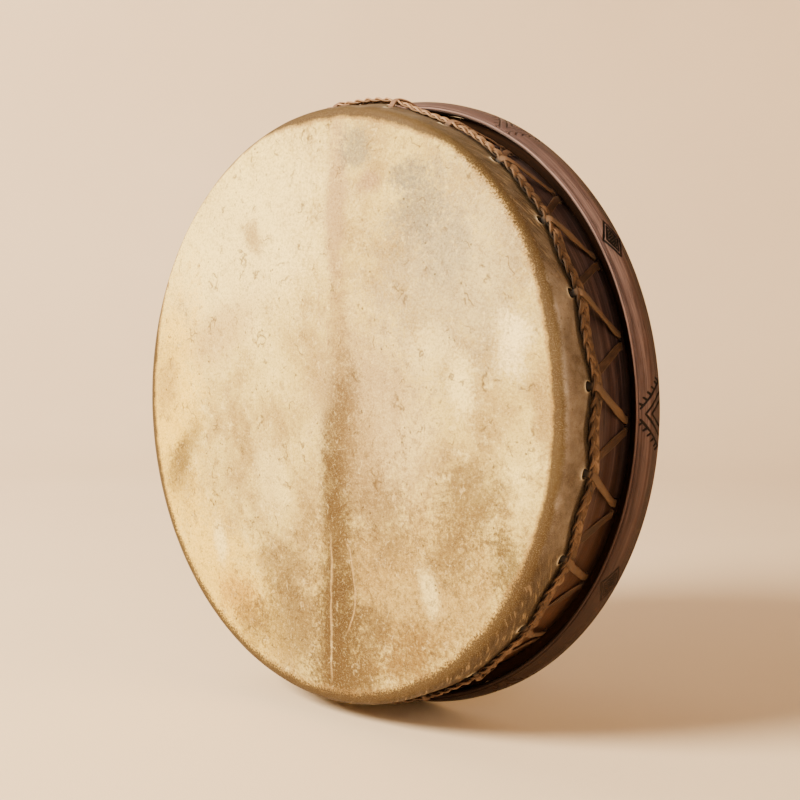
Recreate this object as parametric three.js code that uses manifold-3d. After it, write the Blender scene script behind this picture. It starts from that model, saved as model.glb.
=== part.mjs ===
// Side-laced frame drum, standing on the rim of its rear hoop.
//
// Units are millimetres and +Z is up. The drum's axis lies along Y and its head faces -Y.
// The origin is on the ground, under the middle of the drum.
//
// A bent-wood shell carries a rawhide head at the front and two hoops at the rear. One leather
// thong laces the head down: out of a hole in the skin, over the braid, back to the channel
// under the rear hoop's lip, through the shell, one stitch inside, out again, and forward under
// the braid and the skin's edge to the next hole.
//
// A place on the drum is given by its depth behind the playing face, its radius from the axis,
// and its angle, counted from +X towards +Z.

import * as THREE from "three";
import { mergeVertices } from "three/addons/utils/BufferGeometryUtils.js";
import Module from "manifold-3d";

// Driving dimensions
const DRUM_DEPTH = 84.5; // playing face to rear edge
const FACE_RADIUS = 203; // flat playing face, a 16 inch head
const SEGMENTS = 72; // facets round every hoop
const CLEARANCE = 0.3; // gap between pieces that touch

// Head
const SKIN_THICKNESS = 1.8;
const SHOULDER_RADIUS = 7.5; // the skin's bend over the shell's front edge
const SKIN_DEPTH = 29; // rear edge of the turned-down skin
const SKIN_RADIUS = FACE_RADIUS + SHOULDER_RADIUS;

// Lacing
const LACE_COUNT = 24; // holes round the skin
const LACE_STEP = 360 / LACE_COUNT;
const FIRST_HOLE_ANGLE = 64.9;
const LACE_WIDTH = 4.4;
const LACE_THICKNESS = 1.4;
const LACE_HOLE_RADIUS = 2.9;
const LACE_HOLE_SIDES = 8;
const OVERRUN = 5; // how far a drill passes through a wall
const SKIN_HOLE_DEPTH = 23.6;
const SHELL_HOLE_DEPTH = 70.3;
const STITCH_START = 6.1; // degrees past a skin hole where the thong goes in through the shell
const STITCH_END = 8.06; // and where it comes out again

// Shell: there is room for the thong between it and the skin
const LACE_ROOM = 0.8; // what the thong leaves of that room
const SHELL_RADIUS = SKIN_RADIUS - SKIN_THICKNESS - LACE_THICKNESS - LACE_ROOM;
const SHELL_WALL = 8;
const SHELL_BORE = SHELL_RADIUS - SHELL_WALL;
const CREST_DEPTH = SKIN_THICKNESS + CLEARANCE; // the shell's front edge, which bears the head
const CREST_ROUND = 4.4; // depth of the rounding on the crest's outer side
const CREST_BEVEL = 3; // and of the bevel on its inner side

// Rear hoops
const LIP_DEPTH = 65.5; // front edge of the carved hoop
const CHANNEL_DEPTH = 75; // front edge of the spacer hoop, the channel's back wall
const HOOP_RADIUS = 223.4;
const HOOP_BORE = 214.8;
const LIP_RADIUS = 219.8;
const LIP_ROUND = 1.1;
const SWELL_RADIUS = 221.9; // a place on the curve from the lip to the foot band
const SWELL_DEPTH = 72.5;
const FOOT_DEPTH = 78; // front edge of the level foot band
const HOOP_BEVEL = 1.5;

// Pegs through the three wooden hoops
const PEG_COUNT = 8;
const PEG_RADIUS = 2.5;
const PEG_SIDES = 10;
const PEG_TIP_RADIUS = 219.2; // how far from the axis a peg reaches
const PEG_DEPTH = (CHANNEL_DEPTH + DRUM_DEPTH) / 2;
const FIRST_PEG_ANGLE = 22.5;

// Braid along the skin's rear edge: the thong holds it back at each hole, and it bows forward between
const BRAID_THICKNESS = 2.6;
const BRAID_FRONT = 26.4; // where it crosses a hole's thong
const BRAID_BACK = 33.9;
const BRAID_BOW = 4.5;
const BRAID_EDGE = 1.2; // the bevel along both of its edges
const BRAID_SEGMENTS = 4 * LACE_COUNT;

// Knot in the thong's two ends, inside the shell
const KNOT_LACE = 12; // the stitch that the knot takes the place of
const KNOT_RADIUS = 192.9;
const KNOT_HALF_SIZE = [3, 4.2, 5.5]; // outward, rearward and onward
const TAIL_RADIUS = 195.9; // where both ends of the thong meet the knot

// Height of the axis: a facet of the carved hoop lies flat on the ground
const AXIS_HEIGHT = HOOP_RADIUS * Math.cos(Math.PI / SEGMENTS);

const skinMaterial = new THREE.MeshStandardMaterial({ color: 0xd8c7a1, roughness: 0.72, metalness: 0 });
const shellMaterial = new THREE.MeshStandardMaterial({ color: 0x4a2b20, roughness: 0.6, metalness: 0 });
const spacerMaterial = new THREE.MeshStandardMaterial({ color: 0x6b4630, roughness: 0.65, metalness: 0 });
const hoopMaterial = new THREE.MeshStandardMaterial({ color: 0x56301f, roughness: 0.45, metalness: 0 });
const pegMaterial = new THREE.MeshStandardMaterial({ color: 0x8a6240, roughness: 0.6, metalness: 0 });
const braidMaterial = new THREE.MeshStandardMaterial({ color: 0x9a6f45, roughness: 0.7, metalness: 0 });
const laceMaterial = new THREE.MeshStandardMaterial({ color: 0x8a5f3c, roughness: 0.65, metalness: 0 });

const drum = new THREE.Group();
const wasm = await Module();
wasm.setup();

const radians = (degrees) => (degrees * Math.PI) / 180;

// The Y coordinate of a depth behind the playing face.
const yOf = (depth) => depth - DRUM_DEPTH / 2;

function addPiece(name, geometry, material) {
  const piece = new THREE.Mesh(geometry, material);
  piece.name = name;
  drum.add(piece);
}

// A closed ring turned about the Y axis from [radius, depth] corners.
function turned(corners, segments = SEGMENTS, start = Math.PI / SEGMENTS) {
  const profile = corners.map(([radius, depth]) => new THREE.Vector2(radius, yOf(depth)));
  if (corners[0][0] > 0) profile.push(profile[0].clone());
  return new THREE.LatheGeometry(profile, segments, start, 2 * Math.PI);
}

function solidOf(geometry) {
  const bare = geometry.clone().deleteAttribute("normal").deleteAttribute("uv");
  const merged = mergeVertices(bare, 1e-3);
  const mesh = new wasm.Mesh({
    numProp: 3,
    vertProperties: merged.attributes.position.array,
    triVerts: new Uint32Array(merged.index.array),
  });
  return new wasm.Manifold(mesh);
}

function geometryOf(solid) {
  const mesh = solid.getMesh();
  const geometry = new THREE.BufferGeometry();
  geometry.setAttribute("position", new THREE.BufferAttribute(mesh.vertProperties, 3));
  geometry.setIndex(new THREE.BufferAttribute(mesh.triVerts, 1));
  geometry.computeVertexNormals();
  return geometry;
}

function drilled(geometry, drills) {
  const holes = drills.map(solidOf).reduce((all, one) => all.add(one));
  return geometryOf(solidOf(geometry).subtract(holes));
}

// A rod that points away from the axis, between two radii.
function radialRod(radius, from, to, depth, angle, sides) {
  const rod = new THREE.CylinderGeometry(radius, radius, to - from, sides);
  rod.rotateZ(-Math.PI / 2);
  rod.translate((from + to) / 2, yOf(depth), 0);
  rod.rotateY(-radians(angle));
  return rod;
}

const skinHoleAngle = (index) => FIRST_HOLE_ANGLE - index * LACE_STEP;
const pegAngle = (index) => FIRST_PEG_ANGLE + (index * 360) / PEG_COUNT;
const countTo = (count) => Array.from({ length: count }, (_, index) => index);

// One hole of the thong's size in the skin or the shell.
const laceDrill = (depth, angle) =>
  radialRod(LACE_HOLE_RADIUS, SHELL_BORE - OVERRUN, SKIN_RADIUS + OVERRUN, depth, angle, LACE_HOLE_SIDES);

// The hole that one peg sits in, through all three hoops.
function pegDrill(index) {
  const radius = PEG_RADIUS + CLEARANCE;
  const end = PEG_TIP_RADIUS + CLEARANCE;
  return radialRod(radius, SHELL_BORE - OVERRUN, end, PEG_DEPTH, pegAngle(index), PEG_SIDES);
}

const pegDrills = () => countTo(PEG_COUNT).map(pegDrill);

// Points of a quarter ellipse that starts in front of [FACE_RADIUS, depth] and ends outside it.
function roundedRim(depth, width, height, steps) {
  return countTo(steps + 1).map((step) => {
    const turn = ((Math.PI / 2) * step) / steps;
    return [FACE_RADIUS + width * Math.sin(turn), depth - height * Math.cos(turn)];
  });
}

function drumHead() {
  const inner = SHOULDER_RADIUS - SKIN_THICKNESS;
  const profile = [
    [0, 0],
    ...roundedRim(SHOULDER_RADIUS, SHOULDER_RADIUS, SHOULDER_RADIUS, 4),
    [SKIN_RADIUS, SKIN_DEPTH],
    [SKIN_RADIUS - SKIN_THICKNESS, SKIN_DEPTH],
    ...roundedRim(SHOULDER_RADIUS, inner, inner, 3).reverse(),
    [0, SKIN_THICKNESS],
  ];
  const holes = countTo(LACE_COUNT).map((index) => laceDrill(SKIN_HOLE_DEPTH, skinHoleAngle(index)));
  addPiece("drum_head", drilled(turned(profile), holes), skinMaterial);
}

function shellHoop() {
  const profile = [
    [SHELL_BORE, CREST_DEPTH + CREST_BEVEL],
    [SHELL_BORE + CREST_BEVEL, CREST_DEPTH],
    ...roundedRim(CREST_DEPTH + CREST_ROUND, SHELL_RADIUS - FACE_RADIUS, CREST_ROUND, 3),
    [SHELL_RADIUS, DRUM_DEPTH],
    [SHELL_BORE, DRUM_DEPTH],
  ];
  const laceHoles = countTo(LACE_COUNT).flatMap((index) => [
    laceDrill(SHELL_HOLE_DEPTH, skinHoleAngle(index) - STITCH_START),
    laceDrill(SHELL_HOLE_DEPTH, skinHoleAngle(index) - STITCH_END),
  ]);
  addPiece("shell_hoop", drilled(turned(profile), [...laceHoles, ...pegDrills()]), shellMaterial);
}

function spacerHoop() {
  const inside = SHELL_RADIUS + CLEARANCE;
  const outside = HOOP_BORE - CLEARANCE;
  const profile = [
    [inside, CHANNEL_DEPTH],
    [outside, CHANNEL_DEPTH],
    [outside, DRUM_DEPTH],
    [inside, DRUM_DEPTH],
  ];
  addPiece("spacer_hoop", drilled(turned(profile), pegDrills()), spacerMaterial);
}

// The outer hoop: a rounded lip in front, a face that swells to the rear, and a level foot band.
function carvedHoop() {
  const profile = [
    [HOOP_BORE, LIP_DEPTH + LIP_ROUND],
    [HOOP_BORE + LIP_ROUND, LIP_DEPTH],
    [LIP_RADIUS - LIP_ROUND, LIP_DEPTH],
    [LIP_RADIUS, LIP_DEPTH + LIP_ROUND],
    [SWELL_RADIUS, SWELL_DEPTH],
    [HOOP_RADIUS, FOOT_DEPTH],
    [HOOP_RADIUS, DRUM_DEPTH - HOOP_BEVEL],
    [HOOP_RADIUS - HOOP_BEVEL, DRUM_DEPTH],
    [HOOP_BORE, DRUM_DEPTH],
  ];
  addPiece("carved_hoop", drilled(turned(profile), pegDrills()), hoopMaterial);
}

function hoopPegs() {
  countTo(PEG_COUNT).forEach((index) => {
    const peg = radialRod(PEG_RADIUS, SHELL_BORE, PEG_TIP_RADIUS, PEG_DEPTH, pegAngle(index), PEG_SIDES);
    addPiece(`hoop_peg_${index + 1}`, peg, pegMaterial);
  });
}

// How far forward of its place at the holes the braid lies, at an angle in radians.
function braidBow(angle) {
  const phase = (LACE_COUNT * (angle - radians(FIRST_HOLE_ANGLE))) / 2;
  return BRAID_BOW * Math.sin(phase) ** 2;
}

// The plaited band, as the plain ring that its three strands fill.
function braidBand() {
  const inside = SKIN_RADIUS + CLEARANCE;
  const outside = inside + BRAID_THICKNESS;
  const middle = (inside + outside) / 2;
  const profile = [
    [inside, BRAID_FRONT + BRAID_EDGE],
    [middle, BRAID_FRONT],
    [outside, BRAID_FRONT + BRAID_EDGE],
    [outside, BRAID_BACK - BRAID_EDGE],
    [middle, BRAID_BACK],
    [inside, BRAID_BACK - BRAID_EDGE],
  ];
  const ring = turned(profile, BRAID_SEGMENTS, radians(90 - FIRST_HOLE_ANGLE));
  const corners = ring.attributes.position;
  countTo(corners.count).forEach((index) => {
    const angle = Math.atan2(corners.getZ(index), corners.getX(index));
    corners.setY(index, corners.getY(index) - braidBow(angle));
  });
  ring.computeVertexNormals();
  addPiece("braid_band", ring, braidMaterial);
}

// One step of the lacing, from a skin hole to the next. Each row is the angle past the skin
// hole in degrees, the depth, the radius, and which way the thong's flat side faces, as its
// outward, rearward and onward parts. The thong bends flat, and turns on itself inside the holes.
const UNDER_SKIN = SHELL_RADIUS + CLEARANCE + LACE_THICKNESS / 2;
const OVER_BRAID = SKIN_RADIUS + CLEARANCE + BRAID_THICKNESS + 0.4 + LACE_THICKNESS / 2;
const IN_WALL = SHELL_RADIUS - SHELL_WALL / 2;
const OVER_STRAP = [
  [0, 24.2, 210.6, [0, 1, 0]],
  [0, 24.8, 213.2, [-1, 1, 0]],
  [0.3, 27.4, OVER_BRAID, [-1, 0, 0]],
  [0.9, 31.5, OVER_BRAID, [-1, 0, 0]],
  [1.5, 35, OVER_BRAID - 0.3, [-1, 0, 0]],
  [5.75, 64.5, 208.7, [-1, 0, 0]],
  [6.05, 68.8, 208.3, [-1, -0.4, 0]],
  [STITCH_START, 70.2, 207.1, [-0.5, -1, 0]],
  [STITCH_START, SHELL_HOLE_DEPTH, 206, [0, -1, 0]],
];
const STITCH = [
  [STITCH_START, SHELL_HOLE_DEPTH, IN_WALL, [0, -1, 1]],
  [STITCH_START, SHELL_HOLE_DEPTH, 199.2, [0, 0, 1]],
  [6.45, SHELL_HOLE_DEPTH, 196.9, [1, 0, 1]],
  [7.08, SHELL_HOLE_DEPTH, 196.2, [1, 0, 0]],
  [7.71, SHELL_HOLE_DEPTH, 196.9, [1, 0, -1]],
  [STITCH_END, SHELL_HOLE_DEPTH, 199.2, [0, 0, -1]],
  [STITCH_END, SHELL_HOLE_DEPTH, IN_WALL, [0, 1, -1]],
];
const RETURN_STRAP = [
  [STITCH_END, SHELL_HOLE_DEPTH, 206, [0, 1, 0]],
  [STITCH_END, 70.2, 207.1, [0.5, 1, 0]],
  [8.11, 68.8, 208.2, [1, 0.4, 0]],
  [8.45, 64, 208.2, [1, 0, 0]],
  [13.6, 34, UNDER_SKIN, [1, 0, 0]],
  [14.8, 28, UNDER_SKIN, [1, 0, 0]],
  [LACE_STEP, 25.9, UNDER_SKIN, [1, 0.1, 0]],
  [LACE_STEP, 24.4, 208.2, [1, 1, 0]],
];
const TAIL_IN = [
  [STITCH_START, SHELL_HOLE_DEPTH, IN_WALL, [0, -1, 1]],
  [STITCH_START, SHELL_HOLE_DEPTH, TAIL_RADIUS, [0, 0, 1]],
];
const TAIL_OUT = [
  [STITCH_END, SHELL_HOLE_DEPTH, TAIL_RADIUS, [0, 0, -1]],
  [STITCH_END, SHELL_HOLE_DEPTH, IN_WALL, [0, 1, -1]],
];

// A flat strap's route: a section stands at each given point and faces the given way.
class StrapPath extends THREE.Curve {
  constructor(points, facings) {
    super();
    this.points = points;
    this.facings = facings;
  }
  getPoint(t) {
    const place = t * (this.points.length - 1);
    const before = Math.min(Math.floor(place), this.points.length - 2);
    return this.points[before].clone().lerp(this.points[before + 1], place - before);
  }
  getSpacedPoints() {
    return this.points;
  }
  computeFrenetFrames() {
    const last = this.points.length - 1;
    const ahead = (index) => this.points[index + 1].clone().sub(this.points[index]).normalize();
    const tangents = this.points.map((_, index) => {
      const after = ahead(Math.min(index, last - 1));
      return after.add(ahead(Math.max(index - 1, 0))).normalize();
    });
    const across = (facing, index) => facing.clone().projectOnPlane(tangents[index]).normalize();
    const normals = this.facings.map(across);
    const binormals = normals.map((normal, index) => tangents[index].clone().cross(normal));
    return { tangents, normals, binormals };
  }
}

function strap(points, facings, width, thickness) {
  const section = new THREE.Shape();
  section.moveTo(-thickness / 2, -width / 2);
  section.lineTo(thickness / 2, -width / 2);
  section.lineTo(thickness / 2, width / 2);
  section.lineTo(-thickness / 2, width / 2);
  const path = new StrapPath(points, facings);
  return new THREE.ExtrudeGeometry(section, { steps: points.length - 1, extrudePath: path });
}

// Turns rows of the lacing's step into places on the drum, for the hole of that number.
function placeRows(rows, index) {
  return rows.map(([past, depth, radius, [outward, rearward, onward]]) => {
    const angle = radians(skinHoleAngle(index) - past);
    const out = new THREE.Vector3(Math.cos(angle), 0, Math.sin(angle));
    const on = new THREE.Vector3(Math.sin(angle), 0, -Math.cos(angle));
    const facing = out.clone().multiplyScalar(outward).addScaledVector(on, onward);
    facing.y = rearward;
    const point = out.multiplyScalar(radius);
    point.y = yOf(depth);
    return { point, facing };
  });
}

// The whole thong, from its end in the knot, once round the drum, and back to the knot.
function lace() {
  const route = placeRows([...TAIL_OUT, ...RETURN_STRAP], KNOT_LACE);
  for (let index = KNOT_LACE + 1; index < KNOT_LACE + LACE_COUNT; index += 1) {
    route.push(...placeRows([...OVER_STRAP, ...STITCH, ...RETURN_STRAP], index));
  }
  route.push(...placeRows([...OVER_STRAP, ...TAIL_IN], KNOT_LACE + LACE_COUNT));
  const points = route.map((row) => row.point);
  const facings = route.map((row) => row.facing);
  addPiece("lace", strap(points, facings, LACE_WIDTH, LACE_THICKNESS), laceMaterial);
}

function laceKnot() {
  const knot = new THREE.SphereGeometry(1, 10, 6);
  knot.scale(...KNOT_HALF_SIZE);
  knot.translate(KNOT_RADIUS, yOf(SHELL_HOLE_DEPTH), 0);
  knot.rotateY(-radians(skinHoleAngle(KNOT_LACE) - (STITCH_START + STITCH_END) / 2));
  addPiece("lace_knot", knot, laceMaterial);
}

drumHead();
shellHoop();
spacerHoop();
carvedHoop();
hoopPegs();
braidBand();
lace();
laceKnot();
drum.position.z = AXIS_HEIGHT;

export default drum;
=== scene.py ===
from collections import namedtuple
from math import asin, ceil, copysign, cos, degrees, exp, hypot, pi, radians, sin

import bmesh
import bpy
import numpy as np
from mathutils import Matrix, Vector, noise


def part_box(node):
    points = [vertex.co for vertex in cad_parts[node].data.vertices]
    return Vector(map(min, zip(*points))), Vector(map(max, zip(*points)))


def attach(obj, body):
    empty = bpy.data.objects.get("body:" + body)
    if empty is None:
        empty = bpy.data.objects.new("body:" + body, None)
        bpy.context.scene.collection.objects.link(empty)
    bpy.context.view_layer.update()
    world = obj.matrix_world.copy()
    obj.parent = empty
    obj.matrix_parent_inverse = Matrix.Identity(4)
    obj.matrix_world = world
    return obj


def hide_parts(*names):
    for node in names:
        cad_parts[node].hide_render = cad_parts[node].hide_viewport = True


# The looks of a laced frame drum. Sizes are in millimetres and are turned into metres as points
# are made. A place on the drum is given by its angle, counted in degrees from +X towards +Z, its
# depth behind the playing face, and its radius from the drum's axis, which lies along Y.

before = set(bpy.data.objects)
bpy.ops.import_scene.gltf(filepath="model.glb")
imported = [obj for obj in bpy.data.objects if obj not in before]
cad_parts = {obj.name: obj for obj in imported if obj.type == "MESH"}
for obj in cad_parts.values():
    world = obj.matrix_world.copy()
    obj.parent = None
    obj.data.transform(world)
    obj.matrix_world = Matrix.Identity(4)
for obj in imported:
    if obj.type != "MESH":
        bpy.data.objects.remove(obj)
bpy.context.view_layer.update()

MM = 0.001
CAD_FLAT = cos(pi / 72)  # a CAD hoop's flats are this much nearer the axis than its corners


def low(node):
    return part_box(node)[0] / MM


def high(node):
    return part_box(node)[1] / MM


def design_radius(node):
    return high(node).x / CAD_FLAT


# Sizes worked out from the frame
FACE_Y = low("drum_head").y
AXIS_Z = (low("carved_hoop").z + high("carved_hoop").z) / 2
SKIN_RADIUS = design_radius("drum_head")
SKIN_EDGE = high("drum_head").y - FACE_Y
SHELL_RADIUS = design_radius("shell_hoop")
SHELL_CREST = low("shell_hoop").y - FACE_Y
SPACER_RADIUS = design_radius("spacer_hoop")
CHANNEL_DEPTH = low("spacer_hoop").y - FACE_Y
HOOP_RADIUS = high("carved_hoop").x
LIP_DEPTH = low("carved_hoop").y - FACE_Y
DRUM_DEPTH = high("carved_hoop").y - FACE_Y
BRAID_RADIUS = high("braid_band").x
BRAID_BACK = high("braid_band").y - FACE_Y

# Sizes that the frame's boxes don't give
SKIN_THICKNESS = 1.8
SHOULDER = 7.5  # radius of the skin's bend over the shell
FACE_RADIUS = SKIN_RADIUS - SHOULDER
SHELL_WALL = 8
SHELL_BORE = SHELL_RADIUS - SHELL_WALL
GAP = 0.3
HOOP_BORE = SPACER_RADIUS + GAP
LIP_RADIUS = HOOP_RADIUS - 3.6
LACE_COUNT = 24
LACE_STEP = 360 / LACE_COUNT
FIRST_HOLE = 64.9
SKIN_HOLE_DEPTH = 23.6
HOLE_DRIFT = {1: 0.2, 3: 0.9, 5: 0.5, 7: -0.6, 8: -0.9, 11: 0.5, 14: -0.6, 17: 0.7, 20: -0.5, 22: 0.4}
SHELL_HOLE_DEPTH = 70.3
STITCH_START = 6.1
STITCH_END = 8.06
LACE_HOLE = 3.4
LACE_WIDTH = 5.0
LACE_THICKNESS = 1.35
BRAID_WIDTH = 9.4
BRAID_BOW = 4.5
PEG_COUNT = 8
FIRST_PEG = 22.5
PEG_RADIUS = 2.5
PEG_DEPTH = (CHANNEL_DEPTH + DRUM_DEPTH) / 2


def at(angle, depth, radius):
    """The point at an angle in degrees, a depth behind the playing face and a radius."""
    turn = radians(angle)
    return Vector((radius * cos(turn), FACE_Y + depth, AXIS_Z + radius * sin(turn))) * MM


def outward(angle):
    return Vector((cos(radians(angle)), 0, sin(radians(angle))))


def onward(angle):
    """The way the lacing goes round, towards smaller angles."""
    return Vector((sin(radians(angle)), 0, -cos(radians(angle))))


def even_hole(index):
    return FIRST_HOLE - index * LACE_STEP


def skin_hole(index):
    return even_hole(index) + HOLE_DRIFT.get(index % LACE_COUNT, 0)


def past_hole(angle):
    """Degrees from the nearest skin hole, from about minus to plus half a step."""
    index = round((FIRST_HOLE - angle) / LACE_STEP)
    return angle - skin_hole(index)


def turn_from(start, angle):
    """Degrees from one angle to another, from -180 to 180."""
    return (angle - start + 180) % 360 - 180


def collar_shift(angle):
    """The skin reaches further back near the top, and a little further near the bottom."""
    top, bottom = turn_from(78, angle), turn_from(-62, angle)
    return 7.0 * exp(-((top / 33) ** 2)) + 2.2 * exp(-((bottom / 20) ** 2))


def crown(angle):
    """The plaited edge bulges out at the top of the drum, where the hide is thickest."""
    return 7.0 * exp(-((turn_from(91, angle) / 15) ** 4))


def bow_share(angle):
    """How far the braid bows forward between holes: less near the top, where it hangs straight."""
    return 1 - exp(-((turn_from(80, angle) / 42) ** 4))


def wobble(a, b, seed=0.0):
    """Smooth noise between about -1 and 1."""
    return noise.noise(Vector((a, b, seed)))


def ring_wobble(angle, waves, seed):
    """Smooth noise that meets itself after a full turn."""
    turn = radians(angle)
    return wobble(cos(turn) * waves, sin(turn) * waves, seed)


# ---------------------------------------------------------------- camera, floor and light

CAMERA_AZIMUTH = 43.40
CAMERA_ELEVATION = 2.31
CAMERA_LENS = 54
CAMERA_OFFSET = (0.273, 0.0232, 4.1865)  # right, up and back from the face's middle, in face radii


def make_camera():
    a, e = radians(CAMERA_AZIMUTH), radians(CAMERA_ELEVATION)
    back = Vector((sin(a) * cos(e), -cos(a) * cos(e), sin(e)))
    right = Vector((cos(a), sin(a), 0))
    up = back.cross(right)
    offset = sum((axis * share for axis, share in zip((right, up, back), CAMERA_OFFSET)), Vector())
    data = bpy.data.cameras.new("camera")
    data.lens = CAMERA_LENS
    data.sensor_width = 36
    camera = bpy.data.objects.new("camera", data)
    place = at(0, 0, 0) + FACE_RADIUS * MM * offset
    turn = Matrix((right, up, back)).transposed().to_4x4()
    camera.matrix_world = Matrix.Translation(place) @ turn
    bpy.context.scene.collection.objects.link(camera)
    bpy.context.scene.camera = camera


def link(name, mesh, material=None):
    piece = bpy.data.objects.new(name, mesh)
    bpy.context.scene.collection.objects.link(piece)
    if material:
        mesh.materials.append(material)
    return piece


BACKDROP_RADIUS = 3.0
BACKDROP_CURVE = 1.2
BACKDROP_HEIGHT = 3.2
BACKDROP_SIDES = 96
BACKDROP_BENDS = 12


def lathe(outline, sides, place):
    """Points and faces of a turned shape. outline holds (radius, reach) corners, and place gives
    the point at a radius, a turn and a reach. A radius of 0 is one point on the axis."""
    points, rings, faces = [], [], []
    for radius, reach in outline:
        count = sides if radius else 1
        rings.append([len(points) + side for side in range(count)])
        points += [place(radius, 2 * pi * side / sides, reach) for side in range(count)]
    for a, b in zip(rings, rings[1:]):
        for side in range(sides):
            after = (side + 1) % sides
            corners = (a[side % len(a)], b[side % len(b)], b[after % len(b)], a[after % len(a)])
            faces.append(tuple(dict.fromkeys(corners)))
    return points, faces


def make_backdrop():
    """A round floor that curves up into a wall all round."""
    outline = [(0, 0), (0.6, 0), (1.2, 0), (BACKDROP_RADIUS - BACKDROP_CURVE, 0)]
    for step in range(1, BACKDROP_BENDS + 1):
        turn = pi / 2 * step / BACKDROP_BENDS
        reach = BACKDROP_RADIUS - BACKDROP_CURVE * (1 - sin(turn))
        outline.append((reach, BACKDROP_CURVE * (1 - cos(turn))))
    outline.append((BACKDROP_RADIUS, BACKDROP_HEIGHT))
    points, faces = lathe(
        outline, BACKDROP_SIDES, lambda reach, turn, height: (reach * cos(turn), reach * sin(turn), height))
    mesh = bpy.data.meshes.new("backdrop")
    mesh.from_pydata(points, [], faces)
    mesh.shade_smooth()
    link("backdrop", mesh, backdrop_material())


def area_light(name, place, target, size, power, colour, spread=180):
    data = bpy.data.lights.new(name, "AREA")
    data.shape = "DISK"
    data.size = size
    data.energy = power
    data.color = colour
    data.spread = radians(spread)
    light = bpy.data.objects.new(name, data)
    light.location = place
    light.rotation_euler = (Vector(target) - Vector(place)).to_track_quat("-Z", "Y").to_euler()
    bpy.context.scene.collection.objects.link(light)


def make_lights():
    middle = at(0, DRUM_DEPTH / 2, 0)
    area_light("key", middle + Vector((-0.50, -1.88, 1.28)), middle, 0.9, 214, (1.0, 0.84, 0.62))
    area_light("fill", middle + Vector((1.8, -1.1, 0.8)), middle, 0.8, 11, (1.0, 0.92, 0.86))
    wall = middle + Vector((-2.2, 1.4, 0.5))
    area_light("wall", middle + Vector((-1.4, -0.2, 1.9)), wall, 1.2, 60, (1.0, 0.88, 0.74), spread=150)
    world = bpy.data.worlds.new("world")
    bpy.context.scene.world = world
    world.use_nodes = True
    background = world.node_tree.nodes["Background"]
    background.inputs["Color"].default_value = (1.0, 0.90, 0.80, 1)
    background.inputs["Strength"].default_value = 0.045


# ---------------------------------------------------------------- materials

class Value:
    """What a node gives out. Sums, differences, products and shares of it are made of nodes."""

    def __init__(self, paint, socket):
        self.paint, self.socket = paint, socket

    def __add__(self, other):
        return self.paint.math("ADD", self, other)

    def __sub__(self, other):
        return self.paint.math("SUBTRACT", self, other)

    def __mul__(self, other):
        return self.paint.math("MULTIPLY", self, other)

    def __truediv__(self, other):
        return self.paint.math("DIVIDE", self, other)

    def __abs__(self):
        return self.paint.math("ABSOLUTE", self)


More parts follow.
